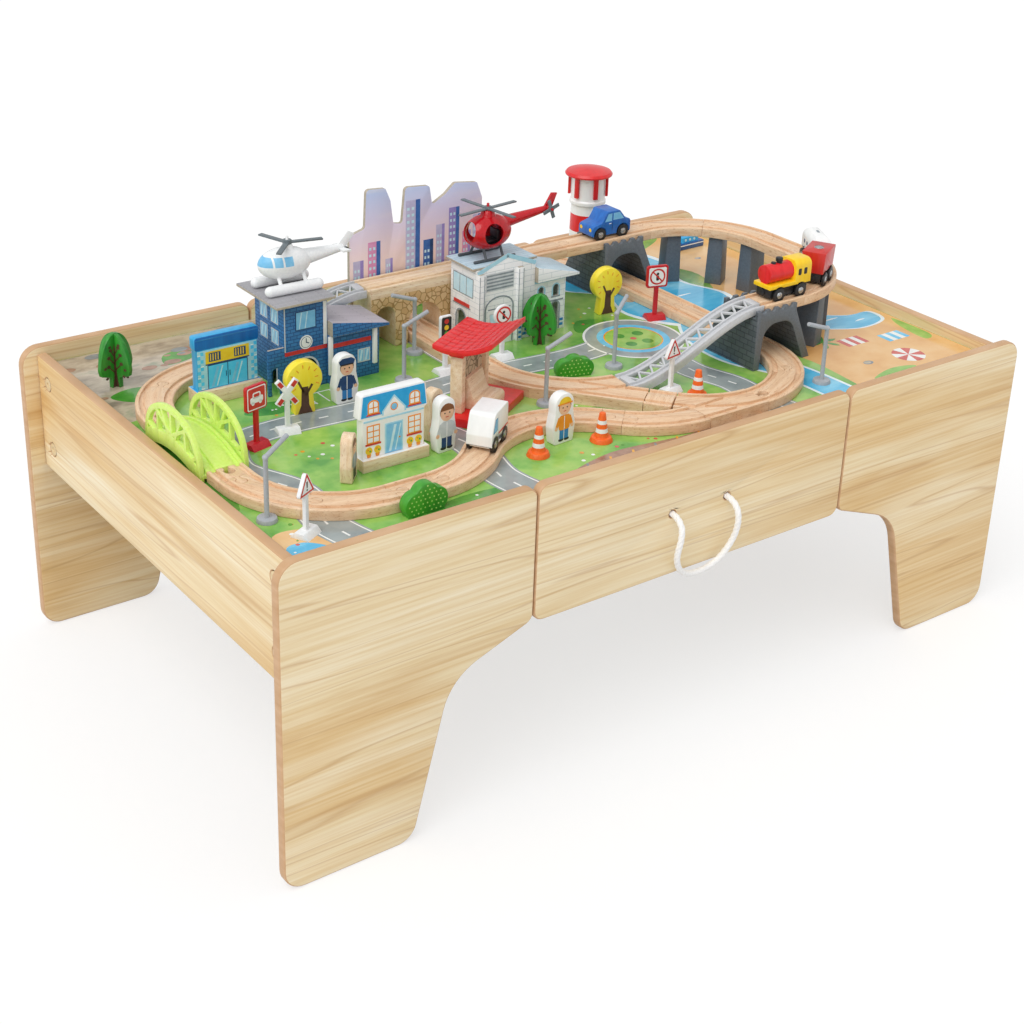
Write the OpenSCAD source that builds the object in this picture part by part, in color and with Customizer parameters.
// Children's train table: a low table with four leg panels, a drawer with a rope handle and a
// recessed play board that carries a wooden railway, buildings, vehicles and small figures.
// Millimetres, +Z up. The origin is on the floor below the middle of the table, +X runs along the
// long side and the drawer opens towards -Y.

/* [Table] */
// Length over the leg panels
table_l = 1000; // [980:1:1060]
// Width over the front and back faces
table_w = 590; // [586:1:640]
// Height of the leg panels
table_h = 356; // [345:1:400]
// Thickness of the laminated panels
panel_t = 12; // [10:0.5:15]
// Height of the apron, the drawer front and the back panel
apron_h = 152; // [140:1:160]
// Radius on the outer corners of the panels
corner_r = 22; // [8:1:28]
// Radius where two panels meet side by side
meet_r = 12; // [4:1:16]
// Inset of the end panels from the ends of the table
end_inset = 18; // [14:1:22]
// Drop of the end panels below the top of the leg panels
end_drop = 8; // [4:1:12]
// Height of the end panels
end_h = 138; // [125:1:146]
// Width of a leg at the floor
foot_w = 145; // [110:1:170]
// Width of a leg at the knee
knee_w = 188; // [175:1:210]
// Height of the knee above the floor
knee_z = 172; // [150:1:180]
// Radius of the knee
knee_r = 62; // [30:1:70]

/* [Board and rails] */
// Depth of the play board below the top of the leg panels
board_drop = 21; // [15:1:26]
// Thickness of the play board
board_t = 6; // [4:0.5:8]
// Gap round the play board
board_gap = 0.5; // [0.2:0.1:1]
// Height of the rails under the board
rail_h = 26; // [20:1:30]
// Thickness of the rails under the board
rail_t = 15; // [12:1:18]

/* [Drawer] */
// Width of the drawer front
drawer_w = 428; // [400:1:440]
// Gap between the drawer front and the leg panels
drawer_gap = 1; // [0.6:0.1:2]
// Depth of the drawer box behind its front
drawer_d = 390; // [300:1:450]
// Height of the drawer sides
drawer_side_h = 84; // [60:1:86]
// Height of the drawer sides above the bottom of the front
drawer_lift = 5; // [3:1:10]
// Thickness of the drawer bottom
drawer_floor_t = 5; // [3:0.5:6]
// Gap between a drawer side and its hanger
runner_gap = 1; // [0.5:0.1:1.5]
// Height of a runner strip
runner_h = 9; // [6:0.5:12]
// Depth of a runner strip in its groove
runner_d = 6; // [4:0.5:7]
// Clearance of a runner strip in its groove
runner_fit = 0.3; // [0.2:0.05:0.5]
// Diameter of the handle rope
rope_d = 7; // [6:0.5:8]
// Clearance of the rope in its holes
rope_fit = 0.5; // [0.3:0.1:1]
// Diameter of the knots behind the drawer front
knot_d = 18; // [14:1:22]
// Diameter of the drawer screws
screw_d = 5; // [3:0.5:6]
// Diameter of the cam discs in the end panels
cam_d = 15; // [12:1:18]
// Diameter of the connecting bolts
bolt_d = 6; // [4:0.5:7]

/* [Railway] */
// Width of the wooden track
track_w = 40; // [38:0.5:42]
// Thickness of the wooden track
track_t = 12; // [10:0.5:13]
// Width of a wheel groove
groove_w = 6; // [5.5:0.1:6.5]
// Depth of a wheel groove
groove_d = 3; // [2:0.25:4]
// Distance between the two grooves
groove_gauge = 26; // [25:0.5:27]
// Diameter of a track peg
peg_d = 11; // [9:0.5:12]
// Width of a peg's neck
peg_neck = 5; // [4:0.5:6]
// Length of a peg's neck
peg_reach = 10; // [8:0.5:11]
// Clearance round a peg
peg_fit = 0.5; // [0.3:0.1:0.8]
// Height of the raised line above the board
raised_h = 64; // [58:1:70]
// Thickness of the plastic tunnel walls
tunnel_wall = 9; // [6:0.5:10]

/* [Toys] */
// Thickness of the flat wooden figures and trees
block_t = 12; // [8:0.5:14]
// Thickness of the printed wall boards
wall_t = 3; // [2:0.5:4]
// Radius of the vehicle wheels
wheel_r = 8.5; // [7.5:0.25:9.5]
// Width of the vehicle wheels
wheel_w = 3; // [2.5:0.25:3.5]
// Radius of the wheel axles
axle_r = 1.5; // [1.2:0.1:2]
// Running clearance on axles and rotor pins
run_fit = 0.06; // [0.04:0.01:0.1]
// Gap between a wheel and its groove
wheel_gap = 0.3; // [0.2:0.1:0.6]
// Width of the vehicle bodies
body_w = 28; // [24:1:30]
// Radius of the lamp posts
lamp_r = 2.4; // [1.8:0.1:3]

/* [Hidden] */
$fn = 48;
arc_steps = 8;
half_l = table_l / 2;
half_w = table_w / 2;
inner_y = half_w - panel_t;
end_x = half_l - end_inset;
inner_x = end_x - panel_t;
apron_z = table_h - apron_h;
board_z = table_h - board_drop;
board_low = board_z - board_t;
meet_x = drawer_w / 2 + drawer_gap;
raised_z = board_z + raised_h;
rail_z = board_low - rail_h;
rail_y = inner_y - rail_t - 0.02;

// Drawer box, its hangers and its runners
side_x = drawer_w / 2 - 24;
side_z = apron_z + drawer_lift;
drawer_end = -inner_y + drawer_d;
hanger_x = side_x + panel_t + runner_gap;
hanger_t = 10;
runner_z = side_z + drawer_side_h / 2;
runner_len = drawer_d + 60;
floor_z = side_z + 4;
screw_len = 34;
screw_head_d = 1.8 * screw_d;
screw_head_h = 2.5;
screw_z = [side_z + 22, side_z + drawer_side_h - 22];
screw_y = drawer_end - panel_t / 2;

// Cam discs and bolts at the four corners
cam_depth = panel_t - 2.5;
cam_y = 26;
cam_z = [table_h - 36, table_h - apron_h + 36];
bolt_bite = panel_t - 4;
fitting_fit = 0.1;

// Rope handle: the left half of its route from the knot to the lowest point
hole_x = 38;
hole_z = 276;
rope_half = [[-38, -282.7, 276], [-38, -291, 276], [-38, -299, 275.5], [-38.5, -307, 272],
             [-39, -312, 265], [-40, -313, 254], [-40.5, -311, 242], [-39, -308, 230],
             [-34, -305, 218], [-26, -302.5, 208], [-14, -300.5, 201], [0, -300, 199]];
rope_route = concat(rope_half, [for (i = [len(rope_half) - 2:-1:0])
    [-rope_half[i][0], rope_half[i][1], rope_half[i][2]]]);
rope_sides = 8;

// Railway layout: curve radii and where each run starts, as [x, y, heading]
small_r = 110;
ramp_r = 118;
bridge_x = -438;
bridge_y = [-80, 52];
line_y = 138;
viaduct_x = [-146, 2];
ground_start = [bridge_x, bridge_y[0], -90];
ground_run = [["S", 25], ["L", small_r, 45], ["L", small_r, 45], ["S", 47], ["L", small_r, 45],
              ["R", small_r, 45], ["R", small_r, 45], ["S", 24], ["L", small_r, 45]];
join_len = 85;
join_turn = 50;
join_clear = 1.4;
bend_steps = 14;
loop_run = [["L", small_r, 45], ["L", small_r, 45], ["S", 136], ["S", 136], ["L", small_r, 45],
            ["L", small_r, 45], ["S", 94], ["L", small_r, 45], ["L", small_r, 45], ["S", 144]];
fork_lead = 12;
fork_turn = 82;
fork_branch = 40;
fork_tail = 112;
fork_lap = 14;
fork_shift = 0.4;
west_start = [bridge_x, bridge_y[1], 90];
west_run = [["R", small_r, 45], ["R", small_r, 45]];
raised_start = [viaduct_x[1], line_y, 0];
raised_run = [["S", 135], ["S", 135], ["R", small_r, 45], ["R", small_r, 45], ["S", 55],
              ["R", small_r, 45], ["R", small_r, 45], ["S", 60]];
joint_gap = 0.3;
link_gap = 0.8;

// The pose after one piece of track, and after a whole run of pieces
function turned(r, a) = [r * sin(a), r * (1 - cos(a))];
function spun(p, a) = [p[0] * cos(a) - p[1] * sin(a), p[0] * sin(a) + p[1] * cos(a)];
function shift_of(piece) =
    piece[0] == "S" ? [piece[1], 0] :
    let (d = turned(piece[1], piece[2])) piece[0] == "L" ? d : [d[0], -d[1]];
function turn_of(piece) = piece[0] == "S" ? 0 : piece[0] == "L" ? piece[2] : -piece[2];
function after(pose, piece) =
    let (d = spun(shift_of(piece), pose[2])) [pose[0] + d[0], pose[1] + d[1], pose[2] + turn_of(piece)];
function run_end(pose, run, n) = n == 0 ? pose : after(run_end(pose, run, n - 1), run[n - 1]);

join_start = run_end(ground_start, ground_run, len(ground_run));
loop_start = after(join_start, ["S", join_len]);
fork_start = run_end(loop_start, loop_run, len(loop_run));
fork_main = run_end(fork_start, [["S", fork_lead], ["L", ramp_r, fork_turn]], 2);
fork_side = run_end(fork_start, [["S", fork_lead], ["L", ramp_r, fork_branch], ["S", fork_tail]], 3);
join_side = run_end([loop_start[0], loop_start[1], loop_start[2] + 180], [["S", joint_gap], ["R", small_r, join_turn]], 2);
link = [join_side[0] - fork_side[0], join_side[1] - fork_side[1]];
west_end = run_end(west_start, west_run, len(west_run));
raised_end = run_end(raised_start, raised_run, len(raised_run));
track_top = board_z + track_t;
raised_top = raised_z + track_t;

// Tunnels: the lower front left corner of each, and the outline they share
tunnel_at = [[194, -162], [194, 113]];
tunnel_base = 90;
tunnel_top = [62, 58];
tunnel_mouth = [tunnel_wall, 79, 54];
rim_h = 9;
rim_t = 4.5;
// Pillars: centre of the curve they stand under, angle on it
pillar_at = [[272, 28, 66], [272, 28, 34], [272, 28, 8], [272, -27, -37], [272, -27, -68]];
pillar_w = [22, 18];
pillar_d = 28;

// Places of the loose toys, as [x, y, turn]
station_x = [-288, -234, -170];
station_y = [63, 131];
station_h = [102, 58];
clinic_x = [-38, 45, 93];
clinic_y = [61, 115];
clinic_h = [96, 68];
garage_at = [-345, 83, 0];
house_at = [-281, -147, -1];
backdrop_x = [-148, 38];
backdrop_y = line_y + track_w / 2 + 4;
tower_at = [270, 246, 0];
shelter_at = [-142, -74, 31];
barge_at = [420, 212, 2];
pine_at = [[-432, 184, 20], [36, 38, 20]];
round_tree_at = [[-295, 16, -6], [167, 76, -6]];
bush_at = [[-313, -244, 3], [12, -60, -14]];
figure_at = [[-244, 16, 0], [-222, -142, 4], [-216, -114, 20], [-338, -148, 46], [-108, -190, 4]];
lamp_at = [[-447, -181, 20], [66, -66, 30], [-64, -108, 0], [-160, 27, 0], [-105, 90, 180],
           [240, -226, 180]];
sign_at = [[-378, -34, 14], [-334, -20, -10], [-430, -224, 28], [207, 28, -16], [75, -154, 10],
           [-107, 24, 0], [-28, 24, 0]];
cone_at = [[-147, -205, 0], [-70, -212, 0], [92, -180, 0]];

// Vehicles: the middle of each, its heading and the height of the track that it stands on
loco_at = [253, raised_end[1], 180];
train_c = [272, -27];
wagon_angle = -61;
carriage_angle = -28;
car_at = [212, line_y, 180];
ambulance_c = [ground_run_c(5)[0], ground_run_c(5)[1]];
ambulance_angle = 125;
function ground_run_c(n) =
    let (p = run_end(ground_start, ground_run, n), d = spun([0, -small_r], p[2])) [p[0] + d[0], p[1] + d[1]];
axle_z = wheel_r - groove_d + wheel_gap;
wheel_y = groove_gauge / 2;
loco_base = 17;
wagon_base = 12;
car_base = 18;
ambulance_base = 14;
// How far the middle of a vehicle stands inside the middle line of a curve
curve_in = 1;
deck_z = axle_z + 8;

// An outline with each corner rounded by its own radius
function unit(v) = v / norm(v);
function corner_arc(a, b, c, r) =
    r <= 0 ? [b] :
    let (u = unit(a - b), v = unit(c - b), half = acos(u * v) / 2,
         m = b + unit(u + v) * r / sin(half),
         s = b + u * r / tan(half) - m, e = b + v * r / tan(half) - m,
         turn = atan2(s[0] * e[1] - s[1] * e[0], s * e))
    [for (i = [0:arc_steps]) m + spun(s, turn * i / arc_steps)];
function rounded(points, radii) =
    let (n = len(points))
    [for (i = [0:n - 1]) each corner_arc(points[(i + n - 1) % n], points[i], points[(i + 1) % n], radii[i])];
function box_outline(x0, x1, z0, z1) = [[x0, z0], [x1, z0], [x1, z1], [x0, z1]];
function arch_outline(x0, x1, z0, spring, rise) =
    concat([[x1, z0]], [for (i = [0:12]) let (a = 15 * i)
        [(x0 + x1) / 2 + (x1 - x0) / 2 * cos(a), spring + rise * sin(a)]], [[x0, z0]]);

// A shape drawn in X and Z, given a thickness along +Y, and one drawn in Y and Z, along +X
module along_y(y, t) { translate([0, y + t, 0]) rotate([90, 0, 0]) linear_extrude(t) children(); }
module along_x(x, t) { translate([x, 0, 0]) rotate([90, 0, 90]) linear_extrude(t) children(); }
module block(x, y, z) { translate([x[0], y[0], z[0]]) cube([x[1] - x[0], y[1] - y[0], z[1] - z[0]]); }
module at(p, z) { translate([p[0], p[1], z]) rotate(p[2]) children(); }
module rod_y(x, y, z, r, l) { translate([x, y, z]) rotate([-90, 0, 0]) cylinder(r = r, h = l); }
module rod_x(x, y, z, r, l) { translate([x, y, z]) rotate([0, 90, 0]) cylinder(r = r, h = l); }

// Table
module bolt_holes(side) {
    for (z = cam_z)
        rod_y(side * (end_x - panel_t / 2), -half_w + panel_t - bolt_bite, z, bolt_d / 2 + fitting_fit, bolt_bite + 1);
}
module leg_panel(side) {
    outline = rounded([[half_l, 0], [half_l, table_h], [meet_x, table_h], [meet_x, apron_z + 4],
                       [half_l - knee_w, knee_z], [half_l - foot_w, 0]],
                      [corner_r, corner_r, meet_r, meet_r, knee_r, corner_r]);
    difference() {
        along_y(-half_w, panel_t) polygon([for (p = outline) [side * p[0], p[1]]]);
        bolt_holes(side);
    }
}
module leg_panel_front_left() { color("burlywood") leg_panel(-1); }
module leg_panel_front_right() { color("burlywood") leg_panel(1); }
module leg_panel_back_left() { color("burlywood") rotate(180) leg_panel(1); }
module leg_panel_back_right() { color("burlywood") rotate(180) leg_panel(-1); }

module end_panel() {
    top = table_h - end_drop;
    difference() {
        block([inner_x, end_x], [-inner_y, inner_y], [top - end_h, top]);
        for (z = cam_z, turn = [0, 1]) mirror([0, turn, 0]) {
            rod_x(end_x - cam_depth, inner_y - cam_y, z, cam_d / 2 + fitting_fit, cam_depth + 1);
            rod_y(end_x - panel_t / 2, inner_y - cam_y, z, bolt_d / 2 + fitting_fit, cam_y + 1);
        }
    }
}
module end_panel_right() { color("burlywood") end_panel(); }
module end_panel_left() { color("burlywood") mirror([1, 0, 0]) end_panel(); }

module apron_outline() {
    polygon(rounded(box_outline(-drawer_w / 2, drawer_w / 2, apron_z, table_h), [meet_r, meet_r, meet_r, meet_r]));
}
module back_panel() { color("burlywood") along_y(half_w - panel_t, panel_t) apron_outline(); }

module playboard() {
    color("yellowgreen")
        block([-inner_x + board_gap, inner_x - board_gap], [-inner_y + board_gap, inner_y - board_gap], [board_low, board_z]);
}
module support_rails() {
    color("tan") {
        for (s = [-1, 1]) {
            block([-inner_x, inner_x], s > 0 ? [inner_y - rail_t, inner_y] : [-inner_y, -inner_y + rail_t], [rail_z, board_low]);
            block(s > 0 ? [inner_x - rail_t, inner_x] : [-inner_x, -inner_x + rail_t],
                  [-rail_y, rail_y], [rail_z, board_low]);
            block(s > 0 ? [hanger_x, hanger_x + hanger_t] : [-hanger_x - hanger_t, -hanger_x],
                  [-rail_y, rail_y], [side_z + 8, board_low]);
        }
    }
}
module drawer_runners() {
    color("peru") for (s = [0, 1]) mirror([s, 0, 0])
        block([hanger_x - runner_d, hanger_x], [-inner_y + rail_t, -inner_y + rail_t + runner_len],
              [runner_z - runner_h / 2, runner_z + runner_h / 2]);
}
module cam_fittings() {
    color("silver") for (x = [0, 1], y = [0, 1], z = cam_z) mirror([x, 0, 0]) mirror([0, y, 0]) {
        difference() {
            rod_x(end_x - cam_depth, inner_y - cam_y, z, cam_d / 2, cam_depth);
            rod_x(end_x - 1.2, inner_y - cam_y, z, cam_d / 6, 2);
        }
        rod_y(end_x - panel_t / 2, inner_y - cam_y + cam_d / 2 + 0.2, z, bolt_d / 2, cam_y - cam_d / 2 + bolt_bite - 0.4);
    }
}

// Drawer
module drawer_front() {
    color("burlywood") difference() {
        along_y(-half_w, panel_t) apron_outline();
        for (s = [-1, 1]) rod_y(s * hole_x, -half_w - 1, hole_z, rope_d / 2 + rope_fit, panel_t + 2);
    }
}
module drawer_sides() {
    color("wheat") for (s = [0, 1]) mirror([s, 0, 0]) difference() {
        block([side_x, side_x + panel_t], [-inner_y, drawer_end], [side_z, side_z + drawer_side_h]);
        block([side_x + panel_t - runner_d - runner_fit + runner_gap, side_x + panel_t + 1], [-inner_y + rail_t - 1, drawer_end + 1],
              [runner_z - runner_h / 2 - runner_fit, runner_z + runner_h / 2 + runner_fit]);
        for (z = screw_z) screw_space(z, fitting_fit);
    }
}
module screw_space(z, fit) {
    rod_x(side_x + panel_t - screw_len, screw_y, z, screw_d / 2 + fit, screw_len + (fit > 0 ? 1 : 0));
    rod_x(side_x + panel_t - screw_head_h, screw_y, z, screw_head_d / 2 + fit, screw_head_h + (fit > 0 ? 1 : 0));
}
module drawer_back() {
    color("wheat") difference() {
        block([-side_x, side_x], [drawer_end - panel_t, drawer_end], [side_z, side_z + drawer_side_h]);
        for (s = [0, 1], z = screw_z) mirror([s, 0, 0]) screw_space(z, fitting_fit);
    }
}
module drawer_bottom() {
    color("linen") block([-side_x, side_x], [-inner_y, drawer_end - panel_t], [floor_z, floor_z + drawer_floor_t]);
}
module drawer_screws() {
    color("silver") for (s = [0, 1], z = screw_z) mirror([s, 0, 0]) screw_space(z, 0);
}

// A tube swept along the rope's route, with each ring square to the route
function route_dir(i) =
    let (n = len(rope_route) - 1, a = rope_route[max(0, i - 1)], b = rope_route[min(n, i + 1)])
    i == 0 || i == n ? [0, i == 0 ? -1 : 1, 0] : unit(b - a);
function ring(i) =
    let (d = route_dir(i), u = unit(cross(d, [1, 0, 0.2])), v = cross(d, u))
    [for (k = [0:rope_sides - 1]) rope_route[i] + rope_d / 2 * (cos(360 * k / rope_sides) * u + sin(360 * k / rope_sides) * v)];
module rope_handle() {
    n = len(rope_route);
    m = rope_sides;
    points = [for (i = [0:n - 1]) each ring(i)];
    walls = [for (i = [0:n - 2], k = [0:m - 1]) each
        let (a = i * m + k, b = i * m + (k + 1) % m) [[a, a + m, b + m], [a, b + m, b]]];
    ends = [for (k = [1:m - 2]) each
        [[0, k, k + 1], [(n - 1) * m, (n - 1) * m + k + 1, (n - 1) * m + k]]];
    color("white") polyhedron(points, concat(walls, ends));
}
module rope_knots() {
    color("white") for (s = [-1, 1])
        translate([s * hole_x, -inner_y + 0.3, hole_z]) rotate([-90, 0, 0]) rotate_extrude()
            polygon(concat([[0, 0]], [for (a = [-60:15:90])
                [knot_d / 2 * cos(a), knot_d / 2 * sin(60) + knot_d / 2 * sin(a)]]));
}

// Wooden track
module track_body_outline() {
    w = track_w / 2;
    polygon([[-w, 0.8], [-w + 0.8, 0], [w - 0.8, 0], [w, 0.8], [w, track_t - 1], [w - 1, track_t],
             [-w + 1, track_t], [-w, track_t - 1]]);
}
module groove_outline() {
    for (s = [-1, 1]) translate([s * groove_gauge / 2 - groove_w / 2, track_t - groove_d]) square([groove_w, groove_d + 1]);
}
module sweep(piece) {
    if (piece[0] == "S") rotate([90, 0, 90]) linear_extrude(piece[1]) children();
    else mirror([0, piece[0] == "L" ? 0 : 1, 0]) translate([0, piece[1], 0]) rotate(-90)
        rotate_extrude(angle = piece[2], $fn = 96) translate([piece[1], 0]) children();
}
module peg(fit) {
    translate([0, 0, -fit]) linear_extrude(track_t + 2 * fit) {
        translate([-1, -peg_neck / 2 - fit]) square([peg_reach + 1, peg_neck + 2 * fit]);
        translate([peg_reach, 0]) circle(d = peg_d + 2 * fit);
    }
}
module piece_of_track(piece, plug = true, socket = true) {
    end = [shift_of(piece)[0], shift_of(piece)[1], turn_of(piece)];
    difference() {
        sweep(piece) track_body_outline();
        sweep(piece) groove_outline();
        if (socket) peg(peg_fit);
        end_trim();
    }
    if (plug) at(end, 0) peg(0);
}
module run_of_track(kind, start, run, z) {
    for (i = [0:len(run) - 1])
        if ((run[i][0] == "S") == (kind == "straight"))
            at(run_end(start, run, i), z) piece_of_track(run[i], plug = i < len(run) - 1);
}
module track_straights() {
    color("peachpuff") {
        run_of_track("straight", ground_start, ground_run, board_z);
        run_of_track("straight", loop_start, loop_run, board_z);
        run_of_track("straight", raised_start, raised_run, raised_z);
        at([fork_side[0], fork_side[1], atan2(link[1], link[0])], board_z) translate([link_gap, 0, 0])
            piece_of_track(["S", norm(link) - 2 * link_gap], plug = false, socket = false);
    }
}
module track_curves() {
    color("peachpuff") {
        run_of_track("curve", ground_start, ground_run, board_z);
        run_of_track("curve", loop_start, loop_run, board_z);
        run_of_track("curve", west_start, west_run, board_z);
        run_of_track("curve", raised_start, raised_run, raised_z);
    }
}
// The two switches are drawn in plan, between two offsets from the middle of each way through them
module band(piece, low, high) {
    if (piece[0] == "S") translate([0, low]) square([piece[1], high - low]);
    else {
        out = piece[0] == "R" ? [low, high] : [-high, -low];
        mirror([0, piece[0] == "R" ? 0 : 1]) polygon([for (edge = [0, 1], i = [0:bend_steps])
            let (a = piece[2] * (edge == 0 ? i : bend_steps - i) / bend_steps, r = piece[1] + out[edge])
            [r * sin(a), r * cos(a) - piece[1]]]);
    }
}
module fork_plan(low, high) {
    branch = turned(ramp_r, fork_branch);
    translate([joint_gap, 0]) band(["S", fork_lead - joint_gap], low, high);
    translate([fork_lead, 0]) band(["L", ramp_r, fork_turn], low, high);
    translate([fork_lead + branch[0], branch[1]]) rotate(fork_branch)
        translate([-fork_lap, -fork_shift]) band(["S", fork_lap + fork_tail], low, high);
}
module join_plan(low, high) {
    translate([joint_gap, 0]) {
        band(["S", join_len - 2 * joint_gap], low, high);
        band(["R", small_r, join_turn - 0.5], low, high);
    }
}
module groove_cut() {
    translate([0, 0, track_t - groove_d]) linear_extrude(groove_d + 1) children();
}
module join_chop() {
    translate([join_len - 2 * joint_gap, -track_w / 2 - join_clear]) square([join_len, track_w + 2 * join_clear]);
}
module track_switches() {
    groove = [groove_gauge / 2 - groove_w / 2, groove_gauge / 2 + groove_w / 2];
    color("peachpuff") {
        at(fork_start, board_z) difference() {
            linear_extrude(track_t) fork_plan(-track_w / 2, track_w / 2);
            groove_cut() fork_plan(groove[0], groove[1]);
            groove_cut() fork_plan(-groove[1], -groove[0]);
            peg(peg_fit);
        }
        at([loop_start[0], loop_start[1], loop_start[2] + 180], board_z) difference() {
            linear_extrude(track_t) difference() {
                join_plan(-track_w / 2, track_w / 2);
                join_chop();
            }
            groove_cut() join_plan(groove[0], groove[1]);
            groove_cut() join_plan(-groove[1], -groove[0]);
        }
    }
}
module end_trim() { translate([-1, -track_w, -1]) cube([1 + joint_gap, 2 * track_w, track_t + 2]); }

// Plastic ramps: a deck that climbs in an S, a lattice between its rails and two side walls
ramp_steps = 14;
function climb(t) = raised_h * t * t * (3 - 2 * t);
function ramp_outline(l, low, high, steep = 1) =
    concat([for (i = [0:ramp_steps]) let (t = i / ramp_steps) [l * t, steep * climb(t) + low]],
           [for (i = [ramp_steps:-1:0]) let (t = i / ramp_steps) [l * t, climb(t) + high]]);
ramp_w = 37;
module ramp(l) {
    w = ramp_w / 2;
    bays = 9;
    gap = groove_gauge - groove_w - 4;
    difference() {
        union() {
            along_y(-w + 3, ramp_w - 6) polygon(ramp_outline(l, track_t - 6, track_t));
            for (s = [-w, w - 3.5]) along_y(s, 3.5) polygon(ramp_outline(l, 0, track_t, 1.05));
        }
        for (s = [-1, 1]) along_y(s * groove_gauge / 2 - groove_w / 2, groove_w)
            polygon(ramp_outline(l, track_t - groove_d, track_t + 1));
        for (i = [1:bays - 2]) let (x = l * i / bays, b = l / bays, s = i % 2 == 0 ? 1 : -1)
            linear_extrude(3 * raised_h) polygon([[x + 3, -s * gap / 2], [x + b - 1, -s * gap / 2], [x + b / 2 + 1, s * gap / 2 - s * 2]]);
    }
}
module ramps() {
    front = [raised_end[0] - fork_main[0], raised_end[1] - fork_main[1]];
    back = [viaduct_x[0] - west_end[0], line_y - west_end[1]];
    color("silver") {
        at([fork_main[0], fork_main[1], atan2(front[1], front[0])], board_z) translate([4, 0, 0]) ramp(norm(front) - 5);
        at([west_end[0], west_end[1], atan2(back[1], back[0])], board_z) translate([4, 0, 0]) ramp(norm(back) - 6);
    }
}

// Green plastic bridge: an arched deck between two bowed truss sides
bridge_w = 54;
truss_t = 5;
truss_rise = 58;
hump = 13;
truss_inset = 10;
function hump_at(t) = hump * 4 * t * (1 - t);
function hump_outline(l, low, high) =
    concat([for (i = [0:16]) let (t = i / 16) [l * t, max(0.4, hump_at(t) + low)]],
           [for (i = [16:-1:0]) let (t = i / 16) [l * t, hump_at(t) + high]]);
module truss(l) {
    bow = [for (i = [1:23]) let (a = 7.5 * i) [l / 2 - l / 2 * cos(a), truss_rise * pow(sin(a), 0.7)]];
    inner = [for (i = [1:23]) let (a = 7.5 * i) [l / 2 - (l / 2 - 6) * cos(a), (truss_rise - 6) * pow(sin(a), 0.7)]];
    difference() {
        polygon(concat(bow, [for (i = [16:-1:0]) let (t = i / 16) [l * t, max(0.4, hump_at(t) - 2)]]));
        difference() {
            polygon(inner);
            polygon(concat([[0, 0], [l, 0]], [for (i = [16:-1:0]) let (t = i / 16) [l * t, hump_at(t) + track_t + 2]]));
            for (i = [1:3]) let (x = l * i / 4) {
                translate([x - 2, 0]) square([4, truss_rise]);
                translate([x, 12]) rotate(i == 2 ? 28 : 62) translate([-2, -8]) square([4, 2 * truss_rise]);
                translate([x, 12]) rotate(i == 2 ? -28 : -62) translate([-2, -8]) square([4, 2 * truss_rise]);
            }
        }
    }
}
module green_bridge() {
    l = bridge_y[1] - bridge_y[0];
    color("greenyellow") translate([bridge_x, bridge_y[0], board_z]) rotate(90) {
        difference() {
            along_y(-track_w / 2, track_w) polygon(hump_outline(l - joint_gap, track_t - 9, track_t));
            for (s = [-1, 1]) along_y(s * groove_gauge / 2 - groove_w / 2, groove_w) polygon(hump_outline(l, track_t - groove_d, track_t + 1));
        }
        for (s = [0, 1]) mirror([0, s, 0]) {
            along_y(track_w / 2 - 1, bridge_w / 2 - truss_t - track_w / 2 + 2) polygon(hump_outline(l - joint_gap, track_t - 8, track_t - 4));
            along_y(bridge_w / 2 - truss_t, truss_t) truss(l - truss_inset);
        }
    }
}

// Wooden bridge with three arches and a grooved deck
module arch_bridge() {
    l = viaduct_x[1] - viaduct_x[0];
    mid = l / 2;
    color("burlywood") translate([viaduct_x[0], line_y, board_z]) difference() {
        along_y(-track_w / 2, track_w) polygon([[0, 0], [l, 0], [l, raised_h + track_t], [0, raised_h + track_t]]);
        along_y(-track_w, 2 * track_w) polygon(arch_outline(mid - 23, mid + 23, -1, 24, 23));
        along_y(-track_w, 2 * track_w) polygon(arch_outline(7, mid - 41, -1, 40, 12));
        along_y(-track_w, 2 * track_w) polygon(arch_outline(mid + 41, l - 7, -1, 40, 12));
        translate([0, 0, raised_h]) sweep(["S", l + 1]) groove_outline();
        translate([l, 0, raised_h]) rotate(180) peg(peg_fit);
    }
}

// Plastic tunnels that carry the raised line, and their pillars
module tunnel() {
    b = tunnel_base;
    h = raised_h;
    difference() {
        union() {
            hull() {
                cube([b, b, 0.5]);
                translate([0, 0, h - 0.5]) cube([tunnel_top[0], tunnel_top[1], 0.5]);
            }
            for (y = [0, tunnel_top[1] - rim_t]) block([0, tunnel_top[0]], [y, y + rim_t], [h, h + rim_h]);
        }
        along_y(-1, b + 2) polygon(rounded([[tunnel_mouth[0], -1], [tunnel_mouth[1], -1], [54, tunnel_mouth[2]], [tunnel_mouth[0] + 3, tunnel_mouth[2]]], [0, 0, 20, 20]));
        for (i = [0:3]) rod_y(10 + i * 14, -1, h + rim_h, 4, b);
    }
}
module tunnels() { color("dimgray") for (p = tunnel_at) translate([p[0], p[1], board_z]) tunnel(); }
module pillars() {
    color("slategray") for (p = pillar_at)
        translate([p[0], p[1], board_z]) rotate(p[2]) translate([small_r, 0, 0])
            along_x(-pillar_d / 2, pillar_d)
                polygon([[-pillar_w[0] / 2, 0], [pillar_w[0] / 2, 0], [pillar_w[1] / 2, raised_h], [-pillar_w[1] / 2, raised_h]]);
}

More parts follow.
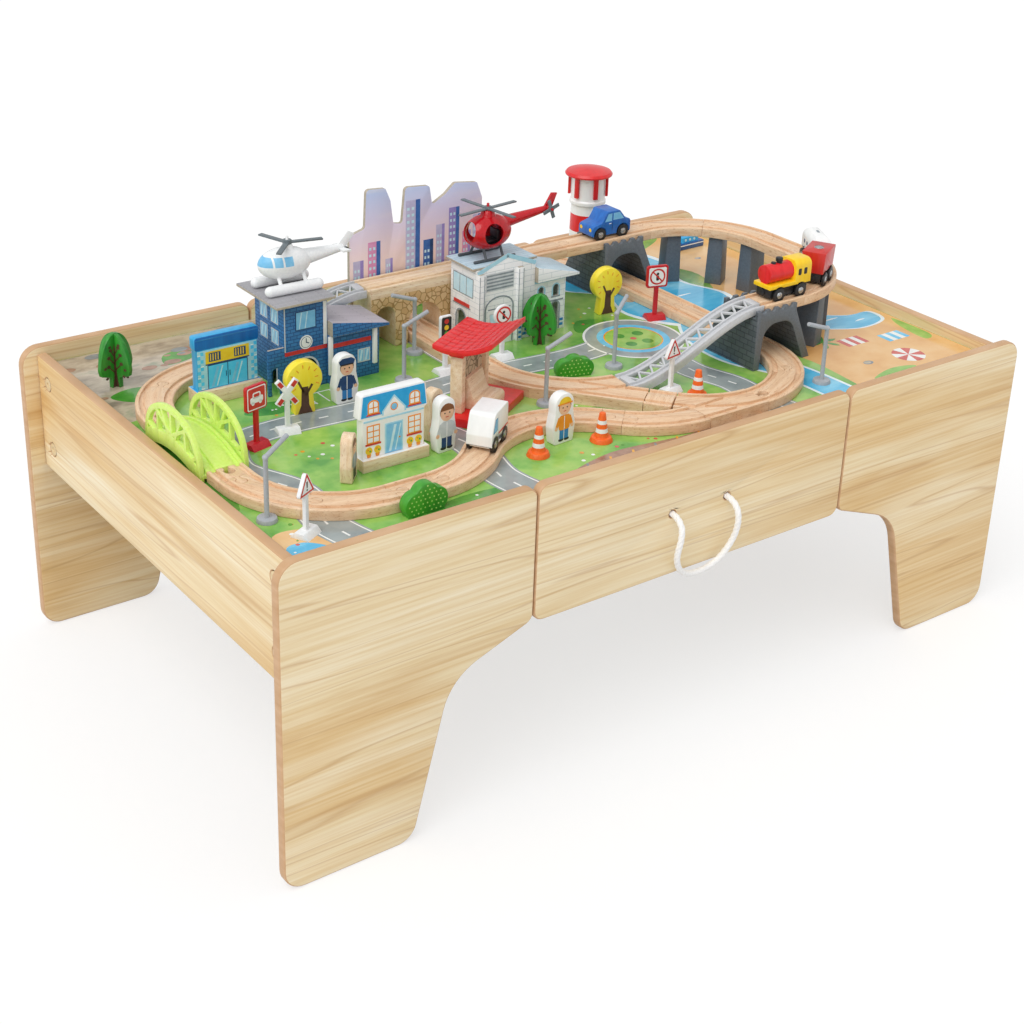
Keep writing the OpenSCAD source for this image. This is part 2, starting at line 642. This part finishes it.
// Buildings of printed board
module shell(x, y, h) {
    difference() {
        block(x, y, [0, h]);
        block([x[0] + wall_t, x[1] - wall_t], [y[0] + wall_t, y[1] - wall_t], [-1, h + 1]);
    }
}
module station_walls() {
    color("steelblue") translate([0, 0, board_z]) {
        difference() {
            shell([station_x[0], station_x[1]], [station_y[0] + 4, station_y[1]], station_h[0]);
            along_y(station_y[0], 12) polygon(arch_outline(station_x[0] + 13, station_x[1] - 13, -1, 22, 14));
            along_x(station_x[0] - 1, wall_t + 2) polygon(arch_outline(station_y[0] + 22, station_y[0] + 36, -1, 22, 7));
        }
        difference() {
            shell([station_x[1], station_x[2]], [station_y[0], station_y[1] - 12], station_h[1]);
            along_y(station_y[0] - 1, wall_t + 2) polygon(arch_outline(station_x[1] + 14, station_x[1] + 30, -1, 24, 6));
        }
        difference() {
            block([station_x[0] - 20, station_x[0]], [station_y[0] + 4, station_y[0] + 4 + wall_t], [0, 54]);
            along_y(station_y[0], 12) polygon(arch_outline(station_x[0] - 16, station_x[0] - 5, -1, 26, 6));
        }
        for (x = [station_x[1] - 2, station_x[2] - 9])
            block([x, x + 5], [station_y[0] - 3, station_y[0]], [x > station_x[1] ? 14 : 12, station_h[1] - 1]);
    }
}
module clinic_walls() {
    gable = [[clinic_x[0], 0], [clinic_x[1], 0], [clinic_x[1], clinic_h[0] - 2], [4, clinic_h[0] + 14], [clinic_x[0], clinic_h[0] - 2]];
    color("whitesmoke") translate([0, 0, board_z]) {
        difference() {
            shell([clinic_x[0], clinic_x[1]], [clinic_y[0] + wall_t, clinic_y[1]], clinic_h[0]);
            along_x(clinic_x[0] - 1, wall_t + 2) polygon(arch_outline(84, 102, -1, 30, 9));
        }
        along_y(clinic_y[0], wall_t) polygon(gable);
        for (x = [clinic_x[0], 18]) block([x, x + 8], [clinic_y[0] - 4, clinic_y[0]], [0, clinic_h[0] - 4]);
        difference() {
            shell([clinic_x[1], clinic_x[2]], [clinic_y[0] + 2, clinic_y[1] - 6], clinic_h[1]);
            along_y(clinic_y[0], 8) {
                polygon(arch_outline(72, 84, -1, 30, 6));
                polygon(arch_outline(52, 61, 44, 54, 4.5));
                polygon(arch_outline(74, 83, 44, 54, 4.5));
            }
        }
    }
}
roof_t = 3;
module building_roofs() {
    color("lightsteelblue") translate([0, 0, board_z]) {
        block([station_x[0] - 13, station_x[1] + 6], [station_y[0] - 5, station_y[1] + 17], [station_h[0], station_h[0] + roof_t]);
        translate([station_x[1] + 0.3, 0, station_h[1]]) along_y(station_y[0] - 7, station_y[1] - station_y[0] - 4)
            polygon([[0, 0], [station_x[2] - station_x[1] + 9, 0], [station_x[2] - station_x[1] + 9, roof_t], [0, roof_t + 14]]);
        block([clinic_x[0] - 5, clinic_x[1] + 4], [clinic_y[0] + wall_t, clinic_y[1] + 4], [clinic_h[0], clinic_h[0] + roof_t]);
        translate([clinic_x[1] + 0.3, 0, clinic_h[1]]) along_y(clinic_y[0] - 6, clinic_y[1] - clinic_y[0] + 5)
            polygon([[0, 0], [clinic_x[2] - clinic_x[1] + 14, 0], [clinic_x[2] - clinic_x[1] + 14, roof_t], [0, roof_t + 16]]);
    }
}
module town_blocks() {
    color("deepskyblue") {
        at(garage_at, board_z) {
            difference() {
                block([-39, 39], [0, 24], [0, 16]);
                block([-36.2, 36.2], [5.8, 6.2 + block_t], [4, 20]);
            }
            along_y(6, block_t) polygon(rounded([[-36, 4], [36, 4], [36, 60], [38, 64], [38, 77], [-38, 77], [-38, 64], [-36, 60]], [0, 0, 0, 0, 3, 3, 0, 0]));
        }
        at(house_at, board_z) {
            difference() {
                block([-39, 39], [0, 24], [0, 13]);
                block([-36.2, 36.2], [5.8, 6.2 + block_t], [4, 20]);
            }
            along_y(6, block_t) polygon(rounded([[-36, 4], [36, 4], [36, 54], [40, 56], [37, 82], [-37, 82], [-40, 56], [-36, 54]], [0, 0, 0, 1, 4, 4, 1, 0]));
        }
        at(barge_at, board_z) {
            block([-26, 26], [-9, 9], [0, 9]);
            block([-12, 18], [-6, 6], [9, 16]);
        }
    }
}
module backdrop_board() {
    x = backdrop_x;
    top = [[x[0], 0], [-101, 0], [-101, 62], [-14, 62], [-14, 0], [x[1], 0], [x[1], 146], [30, 166], [-2, 170], [-16, 158],
           [-34, 148], [-38, 172], [-72, 175], [-76, 132], [-88, 134], [-92, 162], [-99, 178], [-125, 180], [-127, 134], [x[0], 128]];
    color("lightblue") translate([0, 0, board_z])
        along_y(backdrop_y, 5) polygon(rounded(top, [3, 2, 8, 8, 2, 3, 5, 4, 5, 4, 3, 5, 5, 3, 3, 4, 4, 5, 4, 8]));
}
module signal_tower() {
    color("whitesmoke") at(tower_at, board_z) {
        rotate_extrude() polygon([[0, 0], [25, 0], [23, 14], [21.5, 78], [24, 80], [24, 84], [22.5, 86], [22.5, 118], [0, 118]]);
        translate([0, 0, 118]) rotate_extrude() polygon([[0, 0], [31, 0], [31.5, 2], [29, 5], [12, 9], [0, 10]]);
        for (a = [0:60:300]) rotate(a + 15) translate([22.9, -3, 90]) cube([3.6, 6, 28]);
    }
}

// Platform shelter: a base, two posts with a panel and a bench, and a roof that curls up in front
shelter_base = [[-47, 53], [-42, 12]];
shelter_base_h = 10;
post = [9, 14];
post_x = 31;
post_h = 64;
bracket_h = 5;
roof_x = 45;
roof_y = [-44, 24];
roof_low = 4;
function curl(y) = y < roof_low ? 15 * pow((y - roof_low) / (roof_y[0] - roof_low), 2) : 4 * pow((y - roof_low) / (roof_y[1] - roof_low), 2);
module shelter_frame() {
    color("burlywood") at(shelter_at, board_z + shelter_base_h) {
        for (s = [-1, 1]) block([s * post_x - post[0] / 2, s * post_x + post[0] / 2], [-post[1] / 2, post[1] / 2], [0, post_h]);
        block([-post_x + post[0] / 2, post_x - post[0] / 2], [-2, 2], [12, post_h - 8]);
        along_x(-20, 40) polygon(rounded([[-2, 0], [-33, 0], [-33, 13], [-13, 13], [-6, 34], [-2, 34]], [0, 0, 5, 3, 2, 0]));
    }
}
module shelter_base_and_roof() {
    steps = 14;
    ys = [for (i = [0:steps]) roof_y[0] + (roof_y[1] - roof_y[0]) * i / steps];
    color("red") at(shelter_at, board_z) {
        block(shelter_base[0], shelter_base[1], [0, shelter_base_h]);
        translate([0, 0, shelter_base_h + post_h]) {
            for (s = [-1, 1]) block([s * post_x - 6, s * post_x + 6], [-8, 8], [0, bracket_h + 2]);
            along_x(-roof_x, 2 * roof_x) polygon(concat([for (y = ys) [y, bracket_h + curl(y)]],
                [for (i = [steps:-1:0]) [ys[i], bracket_h + 5 + curl(ys[i])]]));
        }
    }
}

// Trees, figures, signs, lamps and cones
pine_w = 48;
function pine_outline() =
    concat([[-8, 0], [8, 0], [8, 12]], [for (i = [0:10]) let (a = 9 * i) [pine_w / 2 * cos(a) + (a == 0 ? -2 : 0), 17 + 45 * sin(a)]],
           [for (i = [9:-1:0]) let (a = 9 * i) [-pine_w / 2 * cos(a) + (a == 0 ? 2 : 0), 17 + 45 * sin(a)]], [[-8, 12]]);
module pine_trees() {
    color("forestgreen") for (p = pine_at) at(p, board_z) {
        difference() {
            along_y(-2.5, 5) polygon(pine_outline());
            block([-2.7, 2.7], [-4, 4], [-1, 31]);
        }
        rotate(90) difference() {
            along_y(-2.5, 5) polygon(pine_outline());
            block([-2.7, 2.7], [-4, 4], [30.8, 80]);
        }
    }
}
module round_tree() {
    along_y(-block_t / 2, block_t) {
        translate([0, 39]) circle(d = 41);
        polygon([[-12, 0], [12, 0], [9, 26], [-9, 26]]);
    }
}
module bush(w, h) {
    along_y(-block_t / 2, block_t) intersection() {
        union() {
            translate([-w / 4, h * 0.36]) circle(r = w * 0.27);
            translate([w / 4, h * 0.36]) circle(r = w * 0.27);
            translate([0, h - w * 0.28]) circle(r = w * 0.28);
            translate([-w * 0.45, 0]) square([w * 0.9, h * 0.3]);
        }
        translate([-w, 0]) square([2 * w, 2 * h]);
    }
}
module flat_trees() {
    color("gold") {
        for (p = round_tree_at) at(p, board_z) round_tree();
        at(bush_at[0], board_z) bush(48, 32);
        at(bush_at[1], board_z) bush(44, 25);
    }
}
function figure_outline(w, h) =
    rounded([[-w * 0.42, 0], [w * 0.42, 0], [w / 2, h * 0.35], [w * 0.4, h * 0.62], [w * 0.4, h], [-w * 0.4, h],
             [-w * 0.4, h * 0.62], [-w / 2, h * 0.35]], [3, 3, 8, 5, w * 0.36, w * 0.36, 5, 8]);
figure_size = [[30, 56], [26, 60], [24, 57], [28, 50], [31, 56]];
module figures() {
    color("whitesmoke") for (i = [0:len(figure_at) - 1]) at(figure_at[i], board_z)
        along_y(-block_t / 2, block_t) polygon(figure_outline(figure_size[i][0], figure_size[i][1]));
}
sign_base = [24, 20, 6];
sign_t = 4;
sign_post = 41;
module sign_foot() {
    along_x(-sign_base[0] / 2, sign_base[0])
        polygon([[-sign_base[1] / 2, 0], [sign_base[1] / 2, 0], [sign_base[1] / 4, sign_base[2]], [-sign_base[1] / 4, sign_base[2]]]);
    translate([-2.5, -sign_t / 2, sign_base[2]]) cube([5, sign_t, sign_post - sign_base[2]]);
}
module sign_plate(kind) {
    translate([0, 0, sign_post]) along_y(-sign_t / 2, sign_t) {
        if (kind == "square") polygon(rounded(box_outline(-14, 14, 0, 28), [3, 3, 3, 3]));
        if (kind == "triangle") polygon(rounded([[-14, 0], [14, 0], [0, 25]], [3, 3, 3]));
        if (kind == "round") translate([0, 13]) circle(r = 12);
        if (kind == "round") translate([-2.5, -1]) square([5, 6]);
        if (kind == "light") polygon(rounded(box_outline(-8, 8, 0, 28), [3, 3, 3, 3]));
        if (kind == "cross") for (a = [-38, 38]) translate([0, 4]) rotate(a) translate([-3, -17]) square([6, 34]);
    }
}
sign_kinds = ["square", "cross", "triangle", "square", "triangle", "light", "round"];
module road_signs() {
    color("red") for (i = [0:len(sign_at) - 1]) at(sign_at[i], board_z) {
        sign_foot();
        sign_plate(sign_kinds[i]);
    }
}
lamp_h = 66;
lamp_arm = 33;
lamp_rise = 20;
module street_lamps() {
    color("gray") for (p = lamp_at) at(p, board_z) {
        cylinder(r1 = 10.5, r2 = 9.5, h = 4);
        translate([0, 0, 4]) cylinder(r = lamp_r, h = lamp_h - 4);
        translate([0, 0, lamp_h]) sphere(r = lamp_r + 0.6);
        translate([0, 0, lamp_h]) rotate([0, 90 - lamp_rise, 0]) cylinder(r = lamp_r, h = lamp_arm);
    }
}
module traffic_cones() {
    color("darkorange") for (p = cone_at) at(p, board_z) {
        cylinder(r1 = 12.5, r2 = 10.5, h = 5);
        translate([0, 0, 5]) cylinder(r1 = 7.5, r2 = 3.2, h = 27);
    }
}

// Vehicles, each drawn with its wheels at the origin's height and facing +X
module wheel_pair() {
    rod_y(0, -wheel_y - wheel_w / 2 - 0.6, 0, axle_r, 2 * wheel_y + wheel_w + 1.2);
    for (s = [-1, 1]) {
        rod_y(0, s * wheel_y - wheel_w / 2, 0, wheel_r, wheel_w);
        rod_y(0, s > 0 ? wheel_y - 0.1 : -wheel_y - wheel_w / 2 - 0.5, 0, wheel_r * 0.45, wheel_w / 2 + 0.6);
    }
}
module axle_bores(base) { for (x = [-base, base]) rod_y(x, -body_w, axle_z, axle_r + run_fit, 2 * body_w); }
module wheel_wells(base) {
    for (x = [-base, base], s = [0, 1]) mirror([0, s, 0]) rod_y(x, wheel_y - wheel_w / 2 - 0.8, axle_z, wheel_r + 1.2, body_w);
}
chassis_w = 2 * (wheel_y - wheel_w / 2 - 0.9);
module chassis(l, base) {
    difference() {
        block([-l / 2, l / 2], [-chassis_w / 2, chassis_w / 2], [3, deck_z]);
        axle_bores(base);
    }
    for (s = [0, 1]) mirror([s, 0, 0]) rod_x(l / 2, 0, deck_z - 5, 4, 2.5);
}
loco_l = 64;
module loco_body() {
    w = body_w / 2;
    color("crimson") at(loco_at, raised_top) {
        chassis(loco_l - 4, loco_base);
        difference() {
            block([-loco_l / 2, loco_l / 2], [-w, w], [deck_z, deck_z + 5]);
            wheel_wells(loco_base);
        }
        along_x(-loco_l / 2, 25) polygon(rounded(box_outline(-w, w, deck_z + 5, deck_z + 29), [0, 0, 8, 8]));
        intersection() {
            rod_x(-loco_l / 2 + 25, 0, deck_z + 15.5, 11, 37);
            block([-loco_l, loco_l], [-w, w], [deck_z + 5, deck_z + 40]);
        }
        difference() {
            union() {
                translate([8, 0, deck_z + 15]) cylinder(r = 3, h = 17);
                translate([8, 0, deck_z + 28]) cylinder(r = 4.2, h = 4.5);
                translate([17, 0, deck_z + 15]) cylinder(r = 2.8, h = 13.5);
            }
            rod_x(-loco_l, 0, deck_z + 15.5, 11, 2 * loco_l);
        }
    }
}
module loco_axle_front() { color("black") at(loco_at, raised_top + axle_z) translate([loco_base, 0, 0]) wheel_pair(); }
module loco_axle_rear() { color("black") at(loco_at, raised_top + axle_z) translate([-loco_base, 0, 0]) wheel_pair(); }

module on_curve(c, angle, z) {
    translate([c[0], c[1], z]) rotate(angle) translate([small_r - curve_in, 0, 0]) rotate(-90) children();
}
module on_wagon(z) { on_curve(train_c, wagon_angle, z) children(); }
module on_carriage(z) { on_curve(train_c, carriage_angle, z) children(); }
module wagon_body() {
    color("firebrick") on_wagon(raised_top) {
        chassis(42, wagon_base);
        difference() {
            along_x(-22, 44) polygon([[-13, deck_z], [13, deck_z], [14.5, deck_z + 26], [-14.5, deck_z + 26]]);
            wheel_wells(wagon_base);
        }
        translate([0, 0, deck_z + 26]) cylinder(r = 5, h = 0.8);
    }
}
module wagon_axle_front() { color("black") on_wagon(raised_top + axle_z) translate([wagon_base, 0, 0]) wheel_pair(); }
module wagon_axle_rear() { color("black") on_wagon(raised_top + axle_z) translate([-wagon_base, 0, 0]) wheel_pair(); }

carriage_h = 25;
module carriage_body() {
    w = body_w / 2 - 2.5;
    color("white") on_carriage(raised_top) {
        chassis(44, wagon_base);
        difference() {
            intersection() {
                along_x(-25, 50) polygon(rounded(box_outline(-w, w, deck_z, deck_z + carriage_h), [0, 0, 11, 11]));
                along_y(-w, body_w) polygon(rounded(box_outline(-25, 25, deck_z, deck_z + carriage_h), [0, 0, 18, 9]));
            }
            wheel_wells(wagon_base);
        }
    }
}
module carriage_axle_front() { color("black") on_carriage(raised_top + axle_z) translate([wagon_base, 0, 0]) wheel_pair(); }
module carriage_axle_rear() { color("black") on_carriage(raised_top + axle_z) translate([-wagon_base, 0, 0]) wheel_pair(); }

function car_outline() =
    rounded([[-30, 4], [31, 4], [31, 17], [16, 21], [8, 34], [-12, 34], [-22, 22], [-30, 20]], [3, 3, 5, 4, 4, 4, 4, 4]);
module car_body() {
    color("royalblue") at(car_at, raised_top) difference() {
        along_y(-body_w / 2, body_w) polygon(car_outline());
        wheel_wells(car_base);
        axle_bores(car_base);
    }
}
module car_axle_front() { color("black") at(car_at, raised_top + axle_z) translate([car_base, 0, 0]) wheel_pair(); }
module car_axle_rear() { color("black") at(car_at, raised_top + axle_z) translate([-car_base, 0, 0]) wheel_pair(); }

module on_ambulance(z) { on_curve(ambulance_c, ambulance_angle, z) rotate(180) children(); }
function ambulance_outline() =
    rounded([[-25, 3], [24, 3], [24, 17], [15, 39], [-25, 39]], [2, 4, 5, 6, 4]);
module ambulance_body() {
    color("white") on_ambulance(track_top) difference() {
        along_y(-body_w / 2, body_w) polygon(ambulance_outline());
        wheel_wells(ambulance_base);
        axle_bores(ambulance_base);
    }
}
module ambulance_axle_front() { color("black") on_ambulance(track_top + axle_z) translate([ambulance_base, 0, 0]) wheel_pair(); }
module ambulance_axle_rear() { color("black") on_ambulance(track_top + axle_z) translate([-ambulance_base, 0, 0]) wheel_pair(); }

// Helicopters, drawn standing on the roof below them and facing +X
red_heli_at = [-3, 93, 180];
white_heli_at = [-258, 106, 178];
red_roof_z = board_z + clinic_h[0] + roof_t;
white_roof_z = board_z + station_h[0] + roof_t;
cabin_l = 62;
cabin_d = 42;
cabin_z = 31;
cabin_wall = 2;
mast_r = 1.6;
tail_x = -88;
tail_z = 45;
red_rotor_z = 60;
red_rotor_r = 44;
rotor_gap = 0.3;
tail_boss = 4.7;
function egg(l, d) = [for (i = [0:20]) let (a = 9 * i) [d / 2 * sin(a), -l / 2 * cos(a)]];
module lying_egg(l, d) { rotate([0, 90, 0]) rotate_extrude() polygon(egg(l, d)); }
module rod_between(a, b, r1, r2) {
    v = b - a;
    translate(a) rotate([0, acos(v[2] / norm(v)), atan2(v[1], v[0])]) cylinder(r1 = r1, r2 = r2, h = norm(v));
}
module red_heli_body() {
    color("red") at(red_heli_at, red_roof_z) {
        difference() {
            union() {
                translate([0, 0, cabin_z]) lying_egg(cabin_l, cabin_d);
                rod_between([-18, 0, 38], [tail_x, 0, tail_z], 8, 3.5);
                translate([0, 0, cabin_z + 17]) cylinder(r1 = 10, r2 = 7, h = 9);
                along_y(-1.5, 3) polygon([[tail_x + 8, tail_z], [tail_x - 4, tail_z], [tail_x - 12, tail_z + 17], [tail_x - 4, tail_z + 18]]);
                for (s = [-1, 1], x = [-12, 12]) rod_between([x, s * 9, 15], [x, s * 16, 2], 1.6, 1.6);
                for (s = [-16, 16]) {
                    rod_x(-28, s, 1.8, 1.8, 56);
                    translate([28, s, 1.8]) sphere(r = 1.8);
                    translate([-28, s, 1.8]) sphere(r = 1.8);
                }
            }
            difference() {
                translate([0, 0, cabin_z]) lying_egg(cabin_l - 2 * cabin_wall, cabin_d - 2 * cabin_wall);
                block([-40, 40], [-30, 30], [0, cabin_z - 13]);
                block([-40, -17], [-30, 30], [0, 80]);
            }
            rod_y(3, -40, cabin_z + 1, 12.5, 80);
            translate([16, 0, cabin_z + 3]) rotate([0, 90, 0]) cylinder(r = 11.5, h = 40);
        }
        translate([0, 0, cabin_z + 26]) cylinder(r = mast_r, h = red_rotor_z - cabin_z - 26 + 5);
        rod_y(tail_x, 3, tail_z, mast_r, tail_boss + 1.5);
        difference() {
            rod_y(tail_x, 1, tail_z, 4, tail_boss - 1);
            rod_y(tail_x, 1, tail_z, mast_r, 8);
        }
    }
}
module blades(n, r, w, t, hub_r, hub_h) {
    difference() {
        union() {
            cylinder(r = hub_r, h = hub_h);
            for (k = [0:n - 1]) rotate(360 / n * k) translate([hub_r - 1, -w / 2, 0.4]) cube([r - hub_r + 1, w, t]);
        }
        translate([0, 0, -1]) cylinder(r = mast_r + run_fit, h = hub_h + 2);
    }
}
module red_heli_rotor() {
    color("gray") at(red_heli_at, red_roof_z + red_rotor_z - 3 + rotor_gap) rotate(8) blades(4, red_rotor_r, 5.5, 1.8, 4.5, 4);
}
module red_heli_tail_rotor() {
    color("gray") at(red_heli_at, red_roof_z) translate([tail_x, tail_boss + rotor_gap, tail_z]) rotate([-90, 0, 0]) rotate(20) blades(4, 12, 4.5, 1.6, 3.5, 3);
}
float_r = 6;
float_y = 17;
white_rotor_z = 55;
white_rotor_r = 40;
module white_heli_body() {
    color("white") at(white_heli_at, white_roof_z) {
        translate([6, 0, 30]) lying_egg(62, 36);
        rod_between([-10, 0, 32], [-66, 0, 36], 10, 4);
        along_y(-1.5, 3) polygon([[-56, 36], [-68, 34], [-80, 50], [-72, 54]]);
        block([-70, -60], [-13, 13], [34, 36.5]);
        for (s = [-1, 1]) {
            rod_x(-26, s * float_y, float_r, float_r, 58);
            translate([32, s * float_y, float_r]) sphere(r = float_r);
            translate([-26, s * float_y, float_r]) sphere(r = float_r);
            for (x = [-12, 18]) rod_between([x, s * float_y, float_r + 2], [x, s * 8, 20], 2.2, 2.2);
        }
        translate([2, 0, 44]) cylinder(r1 = 8, r2 = 5, h = 7);
        translate([2, 0, 51]) cylinder(r = mast_r, h = white_rotor_z - 51 + 5);
    }
}
module white_heli_rotor() {
    color("gray") at(white_heli_at, white_roof_z + white_rotor_z - 4 + rotor_gap) translate([2, 0, 0]) rotate(50) blades(3, white_rotor_r, 6, 2, 5, 4.5);
}

leg_panel_front_left();
leg_panel_front_right();
leg_panel_back_left();
leg_panel_back_right();
end_panel_left();
end_panel_right();
back_panel();
playboard();
support_rails();
drawer_runners();
cam_fittings();
drawer_front();
drawer_sides();
drawer_back();
drawer_bottom();
drawer_screws();
rope_handle();
rope_knots();
track_straights();
track_curves();
track_switches();
ramps();
green_bridge();
arch_bridge();
tunnels();
pillars();
station_walls();
clinic_walls();
building_roofs();
town_blocks();
backdrop_board();
signal_tower();
shelter_frame();
shelter_base_and_roof();
pine_trees();
flat_trees();
figures();
road_signs();
street_lamps();
traffic_cones();
loco_body();
loco_axle_front();
loco_axle_rear();
wagon_body();
wagon_axle_front();
wagon_axle_rear();
carriage_body();
carriage_axle_front();
carriage_axle_rear();
car_body();
car_axle_front();
car_axle_rear();
ambulance_body();
ambulance_axle_front();
ambulance_axle_rear();
red_heli_body();
red_heli_rotor();
red_heli_tail_rotor();
white_heli_body();
white_heli_rotor();
